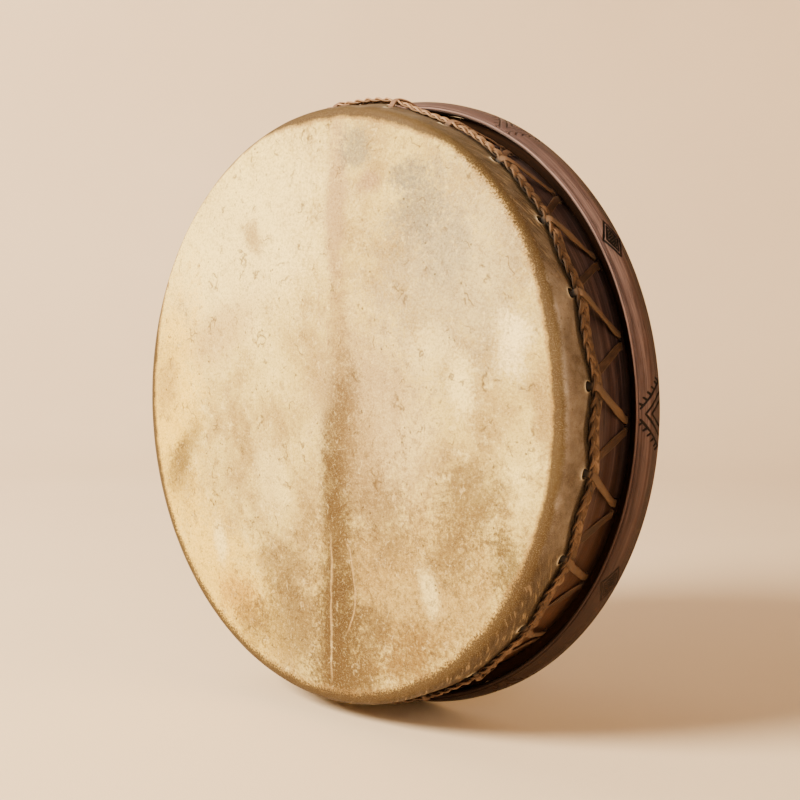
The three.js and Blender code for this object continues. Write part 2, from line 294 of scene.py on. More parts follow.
class Paint:
    """A material under construction, with short calls for the nodes it needs."""

    def __init__(self, name):
        self.material = bpy.data.materials.new(name)
        self.material.use_nodes = True
        self.tree = self.material.node_tree

    def feed(self, socket, value):
        if isinstance(value, Value):
            self.tree.links.new(value.socket, socket)
        elif value is not None:
            socket.default_value = value

    def node(self, kind, values, **settings):
        node = self.tree.nodes.new("ShaderNode" + kind)
        for key, value in settings.items():
            setattr(node, key, value)
        for key, value in values.items():
            self.feed(node.inputs[key], value)
        return node

    def add(self, kind, values, output=0, **settings):
        return Value(self, self.node(kind, values, **settings).outputs[output])

    def uv(self, name):
        return self.add("UVMap", {}, uv_map=name)

    def attribute(self, name):
        return self.add("Attribute", {}, "Fac", attribute_name=name)

    def local(self):
        return self.add("TexCoord", {}, "Object")

    def split(self, coords):
        return [Value(self, socket) for socket in self.node("SeparateXYZ", {0: coords}).outputs]

    def scaled(self, coords, scale, turn=0.0, start=(0, 0, 0), **settings):
        values = {"Vector": coords, "Location": start, "Rotation": (0, 0, radians(turn)), "Scale": scale}
        return self.add("Mapping", values, **settings)

    def noise(self, coords, scale, detail=4.0, rough=0.55, distortion=0.0, output=0):
        values = {"Vector": coords, "Scale": scale, "Detail": detail, "Roughness": rough}
        return self.add("TexNoise", {**values, "Distortion": distortion}, output)

    def patches(self, coords, scale, detail, rough, start, full, most=1.0):
        """Noise that is 0 below start and most above full."""
        return self.span(self.noise(coords, scale, detail, rough), start, full, 0.0, most)

    def wander(self, coords, scale, detail):
        """An offset that drifts from place to place."""
        return self.vector("SUBTRACT", self.noise(coords, scale, detail, 0.5, output=1), (0.5, 0.5, 0.5))

    def moved(self, coords, offset, share):
        return self.vector("ADD", coords, self.add("VectorMath", {0: offset, 3: share}, operation="SCALE"))

    def math(self, operation, a, b=None):
        return self.add("Math", {0: a, 1: b}, operation=operation)

    def vector(self, operation, a, b=None, output=0):
        return self.add("VectorMath", {0: a, 1: b}, output, operation=operation)

    def length(self, coords):
        return self.vector("LENGTH", coords, output="Value")

    def span(self, value, low_end, high_end, to_low=0.0, to_high=1.0, kind="SMOOTHSTEP"):
        values = {0: value, 1: low_end, 2: high_end, 3: to_low, 4: to_high}
        return self.add("MapRange", values, interpolation_type=kind)

    def ramp(self, value, *stops):
        node = self.node("ValToRGB", {0: value})
        elements = node.color_ramp.elements
        while len(elements) < len(stops):
            elements.new(0.5)
        for element, (place, colour) in zip(elements, stops):
            element.position = place
            element.color = (*colour, 1)
        return Value(self, node.outputs[0])

    def mix(self, share, a, b):
        a, b = ((*x, 1) if isinstance(x, tuple) else x for x in (a, b))
        return self.add("Mix", {0: share, 6: a, 7: b}, 2, data_type="RGBA")

    def tint(self, mask, colour, share, towards):
        """Moves a colour by a share towards another one, where the mask is 1."""
        return self.mix(mask, colour, self.mix(share, colour, towards))

    def finish(self, colour, roughness, relief, distance, strength, specular):
        values = {"Height": relief, "Distance": distance, "Strength": strength}
        sockets = {"Base Color": colour, "Roughness": roughness, "Normal": self.add("Bump", values)}
        for key, value in {**sockets, "Specular IOR Level": specular}.items():
            self.feed(self.tree.nodes["Principled BSDF"].inputs[key], value)
        return self.material


def times(colour, *factors):
    """A colour whose parts are multiplied by one factor, or by one each."""
    return tuple(part * factor for part, factor in zip(colour, factors * 3))


def backdrop_material():
    paint = Paint("backdrop_cloth")
    coords = paint.local()
    colour = paint.mix(paint.noise(coords, 2.2, 3), (0.725, 0.58, 0.412), (0.775, 0.635, 0.462))
    return paint.finish(colour, 0.95, paint.noise(coords, 900, 2), 0.0004, 0.4, 0.5)


# Stains on the hide, in face radii: x and z of the middle, half sizes, turn, colour, strength
SPINE = (0.092, 0.051, 0.016)
DEEP_SPINE = (0.046, 0.022, 0.006)
ROSE = (0.33, 0.215, 0.105)
SLATE = (0.16, 0.150, 0.118)
TAN = (0.27, 0.175, 0.058)
BROWN = (0.095, 0.055, 0.018)
GOLD = (0.80, 0.57, 0.070)
OCHRE = (0.42, 0.235, 0.028)
CREAM = (0.86, 0.73, 0.29)
STAINS = [
    # broad changes of tone: pale above on the left, golden on the left and below, duller on the right
    (-0.45, 0.60, 0.70, 0.45, 25, CREAM, 0.85),
    (-0.95, -0.20, 0.28, 0.75, -12, GOLD, 0.85),
    (-0.60, -0.70, 0.50, 0.30, -35, GOLD, 0.80),
    (0.25, -0.05, 0.34, 0.50, 10, (0.44, 0.33, 0.165), 0.65),
    (0.40, -0.60, 0.60, 0.36, 20, (0.34, 0.222, 0.056), 0.75),
    (0.62, 0.45, 0.40, 0.40, -30, (0.42, 0.36, 0.20), 0.70),
    # the brown line of the animal's spine, from the top to the bottom
    (0.075, 0.70, 0.060, 0.40, -1, ROSE, 0.75),
    (0.085, 0.25, 0.055, 0.32, 1, TAN, 0.60),
    (0.105, -0.08, 0.080, 0.30, -3, SPINE, 0.62),
    (0.18, -0.18, 0.15, 0.24, 10, TAN, 0.60),
    (0.075, -0.42, 0.090, 0.32, 3, DEEP_SPINE, 0.62),
    (0.080, -0.75, 0.120, 0.30, 3, DEEP_SPINE, 0.95),
    (0.12, -0.93, 0.22, 0.12, 0, SPINE, 0.90),
    # slate-coloured veils at the top right
    (0.16, 0.88, 0.09, 0.09, -8, SLATE, 0.75),
    (0.45, 0.66, 0.13, 0.17, -30, SLATE, 0.65),
    (0.40, 0.77, 0.09, 0.06, 20, SLATE, 0.70),
    (0.58, 0.52, 0.12, 0.16, -25, (0.25, 0.225, 0.155), 0.60),
    (0.22, 0.76, 0.07, 0.05, 0, ROSE, 0.80),
    # brown and tan patches
    (-0.79, -0.20, 0.075, 0.16, -38, SPINE, 0.65),
    (-0.84, -0.28, 0.11, 0.13, -20, BROWN, 0.55),
    (-0.90, 0.06, 0.10, 0.14, -5, TAN, 0.60),
    (-0.56, 0.26, 0.24, 0.12, 25, (0.42, 0.29, 0.11), 0.60),
    (-0.38, 0.61, 0.06, 0.09, 30, TAN, 0.70),
    (-0.45, -0.74, 0.16, 0.12, -30, OCHRE, 0.80),
    (-0.22, -0.58, 0.16, 0.12, -25, BROWN, 0.50),
    (-0.16, -0.78, 0.24, 0.18, -15, BROWN, 0.62),
    (-0.38, -0.82, 0.12, 0.12, -20, SPINE, 0.55),
    (0.30, -0.36, 0.16, 0.20, 20, BROWN, 0.45),
    (0.68, -0.28, 0.16, 0.16, -20, BROWN, 0.65),
    (0.60, -0.46, 0.14, 0.12, 10, BROWN, 0.55),
    (0.84, -0.48, 0.10, 0.13, 30, DEEP_SPINE, 0.75),
    (0.24, -0.76, 0.12, 0.14, 15, BROWN, 0.75),
    (0.42, -0.80, 0.20, 0.12, 25, (0.17, 0.092, 0.020), 0.85),
    (0.95, 0.02, 0.05, 0.20, 0, TAN, 0.70),
    # bright, cleaner hide
    (-0.22, 0.50, 0.12, 0.12, 0, CREAM, 0.55),
    (0.83, 0.23, 0.08, 0.11, 0, (0.92, 0.79, 0.38), 0.85),
    (0.64, 0.08, 0.06, 0.14, 12, CREAM, 0.80),
    (0.50, 0.20, 0.10, 0.10, 12, CREAM, 0.50),
    (-0.57, -0.54, 0.05, 0.11, 10, CREAM, 0.80),
    (-0.28, -0.26, 0.12, 0.18, 20, CREAM, 0.45),
    (0.50, -0.58, 0.05, 0.10, 15, CREAM, 0.75),
]

# Pale raised veins: x at the middle, bend, z of the middle, half length, half width
VEINS = [
    (-0.015, 1.2, 0.36, 0.09, 0.006),
    (0.030, -0.9, 0.25, 0.08, 0.005),
    (0.045, 0.05, -0.70, 0.30, 0.009),
    (0.165, -1.6, -0.62, 0.19, 0.007),
]


def stain_mask(paint, coords, grain, x, z, half_x, half_z, turn, strength):
    """A soft ellipse whose edge breaks up into the hide's mottling."""
    local = paint.scaled(coords, (half_x, half_z, 1), turn, (x, z, 0), vector_type="TEXTURE")
    fall = paint.span(paint.length(local), 1.7, 0.0)
    return paint.span(fall + grain, 0.22, 0.95, 0.0, strength)


def spine_mask(paint, place, mottle):
    """The brown band along the spine, which fades slowly to the right and the top."""
    x, z, _ = paint.split(place)
    share = paint.span(x, -0.030, 0.055) * paint.span(x, 0.25, 0.03) * paint.span(z, 0.36, -0.20)
    return share * paint.span(mottle, 0.3, 0.65, 0.60, 1.0)


def hairlines(paint, coords, scale):
    """Short thin curved lines: where a noise crosses its middle value, in scattered places."""
    crossing = abs(paint.noise(coords, scale, 3, 0.5) - 0.5)
    scattered = paint.noise(coords, scale * 1.3, 2, 0.5, 0.3)
    return paint.span(crossing, 0.030, 0.0) * paint.span(scattered, 0.56, 0.64)


def vein_mask(paint, coords):
    """The raised veins, as bent lines with soft ends."""
    x, z, _ = paint.split(coords)
    veins = None
    for x_middle, bend, z_middle, half_length, half_width in VEINS:
        rise = z - z_middle
        off = abs(x - x_middle - rise * rise * bend)
        vein = paint.span(off, half_width, 0.0) * paint.span(abs(rise), half_length, half_length * 0.6)
        veins = paint.math("MAXIMUM", veins, vein) if veins else vein
    return veins


def hide_tones(paint, hide, place, mottle, grain):
    """The face's broad tones, stains, spine and soil."""
    x, z, _ = paint.split(hide)
    colour = paint.ramp(
        paint.noise(place, 3.2, 8, 0.62),
        (0.30, (0.23, 0.160, 0.046)), (0.42, (0.37, 0.270, 0.082)),
        (0.53, (0.54, 0.430, 0.125)), (0.68, (0.74, 0.62, 0.205)))
    colour = paint.mix(paint.patches(place, 17, 8, 0.74, 0.53, 0.70, 0.60), colour, (0.90, 0.77, 0.31))
    for *shape, stain, strength in STAINS:
        colour = paint.mix(stain_mask(paint, place, grain, *shape, strength), colour, stain)
    blotches = paint.patches(place, 24, 8, 0.76, 0.51, 0.70, 0.75)
    colour = paint.tint(blotches, colour, 0.7, (0.17, 0.102, 0.032))
    colour = paint.mix(spine_mask(paint, place, mottle), colour, (0.070, 0.036, 0.010))
    soil_area = paint.span(z, 0.05, -0.75) * paint.span(x, -0.75, 0.10, 0.35, 1.0)
    soil = paint.patches(place, 48, 9, 0.80, 0.46, 0.66, 0.80) * soil_area
    return paint.tint(soil, colour, 0.8, (0.060, 0.033, 0.010))


def hide_marks(paint, hide, place, drift, colour):
    """Dark and light hairs, specks, and painted shade in the creases with painted highlights beside them.
    Gives the creases as well.
    """
    colour = paint.mix(hairlines(paint, place, 11) * 0.70, colour, (0.085, 0.045, 0.014))
    light_hairs = hairlines(paint, paint.scaled(hide, (1, 1, 1), 50), 15)
    colour = paint.mix(light_hairs * 0.30, colour, (0.84, 0.70, 0.32))
    specks = paint.add("TexVoronoi", {"Vector": place, "Scale": 34.0}, "Distance")
    specks = paint.span(specks, 0.20, 0.09) * paint.patches(hide, 7, 2, 0.55, 0.50, 0.60)
    colour = paint.mix(specks * 0.75, colour, (0.05, 0.025, 0.010))
    creases = paint.noise(paint.moved(hide, drift, 0.03), 120, 5, 0.75)
    # painted shade in the creases' hollows; the next line paints highlights on their rises
    colour = paint.tint(paint.span(creases, 0.49, 0.62, 0.0, 0.60), colour, 0.6, (0.10, 0.055, 0.016))
    colour = paint.tint(paint.span(creases, 0.47, 0.36, 0.0, 0.40), colour, 0.5, (0.86, 0.74, 0.34))
    return colour, creases


def rawhide_material():
    """The skin's hide. The UV map "hide" holds it laid flat, in face radii from the face's middle."""
    paint = Paint("rawhide")
    hide = paint.uv("hide")
    drift = paint.wander(hide, 2.6, 5)
    place = paint.moved(hide, drift, 0.10)
    mottle = paint.noise(place, 12, 9, 0.70)
    fine_mottle = paint.noise(hide, 70, 5, 0.65)
    grain = paint.span(mottle + fine_mottle, 0.72, 1.28, -0.38, 0.38, "LINEAR")
    colour = hide_tones(paint, hide, place, mottle, grain)
    veins = vein_mask(paint, paint.moved(hide, paint.wander(hide, 9, 2), 0.03))
    colour = paint.mix(veins * 0.6, colour, (0.50, 0.35, 0.14))
    colour, creases = hide_marks(paint, hide, place, drift, colour)
    colour = collar_colour(paint, hide, place, colour)
    pores = paint.noise(hide, 330, 3, 0.7)
    colour = paint.tint(paint.span(pores, 0.50, 0.72, 0.0, 0.45), colour, 0.75, (0.07, 0.04, 0.015))
    colour = paint.tint(paint.span(pores, 0.48, 0.30, 0.0, 0.35), colour, 0.5, (0.85, 0.72, 0.40))
    relief = fine_mottle * 0.45 + pores * 0.22 + veins * 0.8 - creases * 0.35
    return paint.finish(colour, paint.span(mottle, 0.3, 0.7, 0.50, 0.68), relief, 0.0012, 0.6, 0.12)


def collar_colour(paint, hide, place, face):
    """Golden at the bearing edge, then painted shade over the skin's bend, then the collar's own colour
    down to the lacing.
    """
    x, z, _ = paint.split(hide)
    radius = paint.length(hide)
    rise = z / radius
    haired = paint.span(abs(rise), 0.30, 0.62, 0.10, 1.0) * paint.span(rise, 0.72, 0.88, 1.0, 0.15)
    hairs = paint.span(paint.noise(hide, 130, 4, 0.7), 0.3, 0.7, -0.012, 0.012) * (haired + 0.15)
    waves = paint.span(paint.noise(hide, 14, 4, 0.6), 0.3, 0.7, -0.004, 0.004)
    top_shift = paint.span(rise, 0.80, 0.96, 0.0, 0.028) * paint.span(x / radius, -0.35, -0.05)
    ragged = radius + paint.span(rise, 0.1, 0.66, 0.014, -0.018) + waves + top_shift + hairs
    colour = paint.mix(paint.span(ragged, 0.992, 1.000, 0.0, 0.70), face, (0.24, 0.145, 0.045))
    # painted shade where the skin bends over the shell
    colour = paint.mix(paint.span(ragged, 1.000, 1.012, 0.0, 0.94), colour, (0.046, 0.026, 0.011))
    taupe = taupe_colour(paint, hide, place, rise, haired)
    colour = paint.mix(paint.span(ragged, 1.036, 1.056), colour, taupe)
    # painted shade in the lace holes and along the braid's front edge
    colour = paint.mix(paint.attribute("hole_and_braid_shade") * 0.85, colour, (0.018, 0.010, 0.005))
    return paint.mix(paint.attribute("rim") * 0.95, colour, (0.80, 0.68, 0.48))


def taupe_colour(paint, hide, place, rise, haired):
    """Taupe, darker above, with painted shade on its lower part and slanting streaks where hair was left
    on.
    """
    taupe = paint.ramp(
        paint.noise(place, 7, 8, 0.66),
        (0.34, (0.084, 0.062, 0.046)), (0.50, (0.180, 0.141, 0.107)), (0.66, (0.285, 0.231, 0.180)))
    # painted shade on the collar's lower part
    below = paint.span(paint.split(hide)[1], -0.15, -0.60, 0.0, 0.86)
    taupe = paint.tint(below, taupe, 0.75, (0.030, 0.016, 0.006))
    above = paint.span(rise, 0.45, 0.80, 0.0, 0.85)
    taupe = paint.tint(above, taupe, 0.75, (0.055, 0.036, 0.020))
    slanted = paint.scaled(paint.scaled(paint.uv("collar"), (1, 1, 1), 32), (75, 520, 1))
    streaks = paint.noise(slanted, 1, 4, 0.6)
    taupe = paint.tint(haired * 0.85, taupe, 0.6, (0.040, 0.022, 0.009))
    taupe = paint.mix(paint.span(streaks, 0.54, 0.64, 0.0, 0.80) * haired, taupe, (0.30, 0.210, 0.115))
    taupe = paint.mix(paint.span(streaks, 0.46, 0.36, 0.0, 0.80) * haired, taupe, (0.020, 0.010, 0.004))
    return paint.mix(paint.patches(hide, 60, 6, 0.75, 0.56, 0.66, 0.60), taupe, (0.050, 0.028, 0.012))


# foot colour for wood: painted shade on the lower part of the hoop, spacer and pegs
DARK_WOOD = (0.017, 0.0065, 0.003)


def wood_material(
        name, dark, middle, light, rough, foot=DARK_WOOD, specular=0.18, carved=False, channel_shade=False):
    """Wood whose grain runs round the hoop: the UV map holds metres along and across it. Low down it
    turns to the foot colour, which is painted shade, and on the shell a painted reddish bounce light
    instead. Its top has painted light. Attributes hold the cuts with painted shade in them, a
    painted highlight on the lip's bead and painted shade in the channel."""
    paint = Paint(name)
    around = paint.uv("around")
    wave = paint.noise(paint.scaled(around, (1.6, 22, 1)), 1, 3)
    flow = paint.vector("ADD", around, paint.add("CombineXYZ", {1: wave * 0.006}))
    broad = paint.noise(paint.scaled(flow, (3, 90, 1)), 1, 5, 0.6)
    fine = paint.noise(paint.scaled(flow, (14, 620, 1)), 1, 5, 0.65)
    colour = paint.ramp(broad * 0.6 + fine * 0.4, (0.40, dark), (0.50, middle), (0.60, light))
    red = paint.patches(paint.scaled(flow, (2, 60, 1), start=(3, 9, 0)), 1, 3, 0.55, 0.50, 0.64, 0.32)
    colour = paint.mix(red, colour, times(middle, 1.15, 0.62, 0.42))
    pores = paint.patches(paint.scaled(flow, (60, 2600, 1)), 1, 2, 0.5, 0.56, 0.68, 0.75)
    colour = paint.mix(pores, colour, times(dark, 0.35))
    if carved:
        # painted shade: the carved grooves are painted near black
        colour = paint.mix(paint.span(paint.attribute("cut"), 0.05, 0.45), colour, (0.002, 0.001, 0.0006))
        # painted highlight along the lip's bead
        lip_highlight = paint.attribute("lip_highlight") * paint.span(broad, 0.3, 0.7, 0.35, 1.0)
        colour = paint.mix(lip_highlight * 0.55, colour, times(light, 2.6))
    height = paint.split(paint.local())[2]
    # painted shade low down; the shell's own foot colour is painted reddish bounce light instead
    colour = paint.mix(paint.span(height, 0.24, 0.05, 0.0, 0.92), colour, foot)
    # painted light on the top
    colour = paint.mix(paint.span(height, 0.33, 0.45, 0.0, 0.35), colour, times(light, 1.2))
    if channel_shade:
        # painted shade in the channel between the shell and the hoop
        colour = paint.mix(paint.attribute("channel_shade") * 0.55, colour, (0.004, 0.002, 0.0012))
    roughness = paint.span(fine, 0.3, 0.7, rough - 0.08, rough + 0.10)
    return paint.finish(colour, roughness, fine * 0.5 - pores * 0.5, 0.0005, 0.6, specular)


def leather_material(name, dark, middle, light, rough, edge):
    """Cut hide thong: the UV map holds metres along and across the strap. It is darker and
    redder low down, has painted light at the top, and painted shade where it runs beneath another
    strand or into a hole."""
    paint = Paint(name)
    along = paint.uv("along")
    broad = paint.noise(paint.scaled(along, (45, 140, 1)), 1, 4, 0.6)
    fibres = paint.noise(paint.scaled(along, (160, 2400, 1)), 1, 4, 0.6)
    tone = broad * 0.65 + fibres * 0.35
    colour = paint.ramp(tone, (0.34, dark), (0.50, middle), (0.66, light))
    spots = paint.patches(paint.scaled(along, (300, 700, 1)), 1, 3, 0.55, 0.6, 0.75, 0.5)
    colour = paint.mix(spots, colour, times(dark, 0.5))
    from_middle = abs(paint.split(along)[1])
    # edge colour: on the braid, painted shade in the gaps between strands; on the lace, its paler raw cut
    # edges
    colour = paint.mix(paint.span(from_middle, 0.0019, 0.0025, 0.0, 0.75), colour, edge)
    height = paint.split(paint.local())[2]
    # painted light on the top of the drum
    top_light = paint.mix(tone, times(light, 0.9), times(light, 2.6))
    colour = paint.mix(paint.span(height, 0.36, 0.435, 0.0, 0.70), colour, top_light)
    # darker and redder towards the bottom
    low_tone = paint.mix(tone, dark, times(light, 0.80, 0.62, 0.45))
    colour = paint.mix(paint.span(height, 0.20, 0.06, 0.0, 0.35), colour, low_tone)
    # painted shade where a strand runs beneath another or the thong goes into a hole, weaker at the top
    shade_under = paint.attribute("shade_under") * paint.span(height, 0.38, 0.435, 0.95, 0.45)
    colour = paint.mix(shade_under, colour, times(dark, 0.15))
    roughness = paint.span(broad, 0.3, 0.7, rough - 0.08, rough + 0.1)
    return paint.finish(colour, roughness, fibres * 0.6 + broad * 0.6, 0.0006, 0.6, 0.25)


# ---------------------------------------------------------------- mesh building

def finish_mesh(name, verts, faces, sharp=None):
    mesh = bpy.data.meshes.new(name)
    mesh.from_pydata(verts, [], faces)
    work = bmesh.new()
    work.from_mesh(mesh)
    bmesh.ops.recalc_face_normals(work, faces=work.faces)
    work.to_mesh(mesh)
    work.free()
    mesh.shade_smooth()
    if sharp:
        mesh.set_sharp_from_angle(angle=radians(sharp))
    return mesh


def set_uv(mesh, name, coords, wrap=None):
    """Gives each corner its vertex's coordinates. With wrap, u goes on across the seam."""
    corners = np.empty(len(mesh.loops), np.int64)
    mesh.loops.foreach_get("vertex_index", corners)
    values = np.asarray(coords, float)[corners]
    if wrap:
        starts = np.empty(len(mesh.polygons), np.int64)
        counts = np.empty(len(mesh.polygons), np.int64)
        mesh.polygons.foreach_get("loop_start", starts)
        mesh.polygons.foreach_get("loop_total", counts)
        widest = np.repeat(np.maximum.reduceat(values[:, 0], starts), counts)
        values[widest - values[:, 0] > wrap / 2, 0] += wrap
    mesh.uv_layers.new(name=name).data.foreach_set("uv", values.astype(np.float32).ravel())


def set_attribute(mesh, name, values):
    attribute = mesh.attributes.new(name, "FLOAT", "POINT")
    attribute.data.foreach_set("value", np.asarray(values, np.float32))


def spread(start, end, step):
    """Values from start up to but not including end, about a step apart."""
    count = max(1, round((end - start) / step))
    return [start + (end - start) * k / count for k in range(count)]


# A radial hole through a ring's two walls, in a patch of the ring's grid
Bore = namedtuple("Bore", "angle depth radius half_angle half_depth")


class Ring:
    """A ring turned about the drum's axis. outline holds (radius, depth) corners, and columns the
    angles of its copies. warp moves a place given as (angle, radius, depth)."""

    def __init__(self, columns, outline, walls=None, closed=True, warp=None):
        self.columns, self.outline, self.walls, self.closed = columns, outline, walls, closed
        self.warp = warp or (lambda angle, radius, depth: (radius, depth))
        self.points, self.places, self.faces = [], [], []
        self.index, self.cut = {}, set()
        self.runs = [0.0]
        for (r0, d0), (r1, d1) in zip(outline, outline[1:]):
            self.runs.append(self.runs[-1] + hypot(r1 - r0, d1 - d0))

    def add(self, angle, radius, depth, run):
        moved_radius, moved_depth = self.warp(angle, radius, depth)
        self.points.append(at(angle, moved_depth, moved_radius))
        self.places.append((angle, radius, depth, run))
        return len(self.points) - 1

    def corner(self, column, row):
        column %= len(self.columns)
        if (column, row) not in self.index:
            radius, depth = self.outline[row]
            self.index[column, row] = self.add(self.columns[column], radius, depth, self.runs[row])
        return self.index[column, row]

    def rows_on(self, wall, bore):
        low_end, high_end = bore.depth - bore.half_depth - 0.01, bore.depth + bore.half_depth + 0.01
        rows = [
            row for row, (radius, depth) in enumerate(self.outline)
            if abs(radius - wall) < 0.01 and low_end <= depth <= high_end
        ]
        return sorted(rows, key=lambda row: self.outline[row][1])

    def column_at(self, angle):
        start = self.columns[0]
        angle = (angle - start + 1e-6) % 360 + start
        return min(range(len(self.columns)), key=lambda c: abs(self.columns[c] - angle))

    def drill(self, bore, rings):
        """Replaces a patch on each wall by rings that close on the hole, and joins them through.
        rings holds (share of the way to the hole, how far the wall rounds inwards)."""
        first = self.column_at(bore.angle - bore.half_angle)
        last = self.column_at(bore.angle + bore.half_angle)
        columns = [first + k for k in range((last - first) % len(self.columns) + 1)]
        mouths = []
        for wall in self.walls:
            rows = self.rows_on(wall, bore)
            self.cut |= {
                (c % len(self.columns), min(a, b)) for c in columns[:-1] for a, b in zip(rows, rows[1:])
            }
            edge = [(c, rows[0]) for c in columns]
            edge += [(columns[-1], row) for row in rows[1:]]
            edge += [(c, rows[-1]) for c in reversed(columns[:-1])]
            edge += [(columns[0], row) for row in reversed(rows[1:-1])]
            loop = [self.corner(c, row) for c, row in edge]
            inward = 1 if wall == max(self.walls) else -1
            for share, drop in rings:
                loop = self.step_in(loop, edge, bore, wall - inward * drop, share)
            mouths.append(loop)
        self.band(mouths[0], mouths[1])

    def step_in(self, outer, edge, bore, radius, share):
        inner = []
        for column, row in edge:
            angle = self.columns[column % len(self.columns)]
            across = radians(turn_from(bore.angle, angle)) * max(self.walls)
            rise = self.outline[row][1] - bore.depth
            reach = hypot(across, rise)
            scale = (1 - share) + share * bore.radius / reach
            turned = bore.angle + degrees(across * scale / max(self.walls))
            start = self.columns[0]
            turned = (turned - start) % 360 + start
            depth, run = bore.depth + rise * scale, self.runs[row] + rise * (scale - 1)
            inner.append(self.add(turned, radius, depth, run))
        self.band(outer, inner)
        return inner

    def band(self, a, b):
        count = len(a)
        for k in range(count):
            self.faces.append((a[k], a[(k + 1) % count], b[(k + 1) % count], b[k]))

    def build(self, name, sharp=None):
        rows = len(self.outline)
        for row in range(rows if self.closed else rows - 1):
            for column in range(len(self.columns)):
                if (column, row) not in self.cut:
                    after = (row + 1) % rows
                    self.faces.append((
                        self.corner(column, row), self.corner(column + 1, row),
                        self.corner(column + 1, after), self.corner(column, after),
                    ))
        if not self.closed:
            for row in (0, rows - 1):
                self.faces.append(tuple(self.corner(c, row) for c in range(len(self.columns))))
        return finish_mesh(name, self.points, self.faces, sharp)

    def around(self, mesh):
        """The UV map of a wooden ring: metres along the hoop and across its outline."""
        length = 2 * pi * SHELL_RADIUS * MM
        start = self.columns[0]
        coords = [((a - start) % 360 / 360 * length, run * MM) for a, _, _, run in self.places]
        set_uv(mesh, "around", coords, wrap=length)


def sweep(name, stations, closed, curl=0.0):
    """A flat strap with rounded edges, curled a little like a gutter. A station is (middle, across,
    facing, width, thickness)."""
    sides = 16
    verts, coords, faces = [], [], []
    run, before = 0.0, stations[0][0]
    for k, (middle, across, facing, width, thickness) in enumerate(stations):
        run += (middle - before).length
        before = middle
        bend = curl * MM * (0.6 + 0.9 * wobble(k / 26, 5.5, 3))
        for side in range(sides):
            turn = 2 * pi * (side + 0.5) / sides
            c, s = cos(turn), sin(turn)
            wide = copysign(abs(c) ** 0.5, c) * width / 2
            thick = copysign(abs(s) ** 0.6, s) * thickness / 2
            verts.append(middle + across * wide + facing * (thick + bend * (abs(c) - 0.5)))
            coords.append((run, wide + (0.01 if s < 0 else 0)))
    count = len(stations)
    for k in range(count if closed else count - 1):
        a, b = k * sides, (k + 1) % count * sides
        for side in range(sides):
            faces.append((a + side, a + (side + 1) % sides, b + (side + 1) % sides, b + side))
    if not closed:
        faces.append(tuple(range(sides)))
        faces.append(tuple(range((count - 1) * sides, count * sides)))
    mesh = finish_mesh(name, verts, faces)
    set_uv(mesh, "along", coords, wrap=run if closed else None)
    return mesh


# ---------------------------------------------------------------- skin

SKIN_PATCH_ANGLE = 1.35  # half width of the grid patch round each hole, in degrees
SKIN_PATCH_DEPTH = 4.4
SCALLOP = 2.6  # how much the skin's edge draws forward between the holes


def hole_distance(angle, depth):
    across = radians(past_hole(angle)) * SKIN_RADIUS
    return hypot(across, depth - SKIN_HOLE_DEPTH), across


def skin_warp(angle, radius, depth):
    """Relief of the stretched hide: hollows and swells, the scalloped edge, and lifted hole rims."""
    turn = radians(angle)
    x, z = radius * cos(turn), radius * sin(turn)
    if depth < SKIN_THICKNESS + 0.5 and radius < FACE_RADIUS:
        fade = min(1, (FACE_RADIUS - radius) / 25)
        swell = 0.35 * wobble(x / 70, z / 70) + 0.16 * wobble(x / 24, z / 24, 4)
        return radius, depth + fade * swell
    if depth <= SHOULDER:
        return radius + 0.15 * wobble(x / 16, z / 16, 2), depth
    pull = min(1, (depth - SHOULDER) / (SKIN_HOLE_DEPTH - SHOULDER))
    scallop = SCALLOP * bow_share(angle) * sin(pi * past_hole(angle) / LACE_STEP) ** 2 * pull ** 2
    swell = 0.45 * ring_wobble(angle, 9, depth / 14) * min(1, pull * 3)
    distance, across = hole_distance(angle, depth)
    beyond = max(0.0, distance - LACE_HOLE)
    front = 0.5 + 0.5 * max(0.0, (SKIN_HOLE_DEPTH - depth)) / (distance + 0.5)
    index = round((FIRST_HOLE - angle) / LACE_STEP)
    size = 0.75 + 0.35 * wobble(index * 3.7, 1.3)
    lift = size * front * exp(-beyond / 1.1)
    dimple = -0.5 * exp(-(((distance - 7) / 3.5) ** 2)) * pull
    ridge = 0.35 * exp(-((across / 2.2) ** 2)) * max(0.0, 1 - abs(depth - 15) / 8)
    bulge = 0.85 * crown(angle) * max(0.0, (depth - 14) / (SKIN_EDGE - 14)) ** 1.5
    return radius + swell + lift + dimple + ridge + bulge, depth - scallop + collar_shift(angle) * pull


def skin_outline():
    inner_shoulder = SHOULDER - SKIN_THICKNESS
    inner_radius = SKIN_RADIUS - SKIN_THICKNESS
    face = [(r, 0.0) for r in spread(4.0, FACE_RADIUS, 3.4)]
    bend = [pi / 2 * k / 7 for k in range(8)]
    outside = [(FACE_RADIUS + SHOULDER * sin(t), SHOULDER - SHOULDER * cos(t)) for t in bend]
    inside = [
        (FACE_RADIUS + inner_shoulder * sin(t), SHOULDER - inner_shoulder * cos(t)) for t in bend
    ]
    patch_front = SKIN_HOLE_DEPTH - SKIN_PATCH_DEPTH
    patch_back = SKIN_HOLE_DEPTH + SKIN_PATCH_DEPTH
    depths = spread(SHOULDER, patch_front, 1.7)[1:] + spread(patch_front, patch_back, 1.25)
    depths += spread(patch_back, SKIN_EDGE - 0.3, 0.8) + [SKIN_EDGE - 0.3]
    edge = [(SKIN_RADIUS - 0.35, SKIN_EDGE), (inner_radius + 0.35, SKIN_EDGE)]
    outer = face + outside + [(SKIN_RADIUS, d) for d in depths] + edge
    shade_under = [(inner_radius, d) for d in reversed(depths)]
    back = [(r, SKIN_THICKNESS) for r, _ in reversed(face)]
    return outer + shade_under + list(reversed(inside)) + back


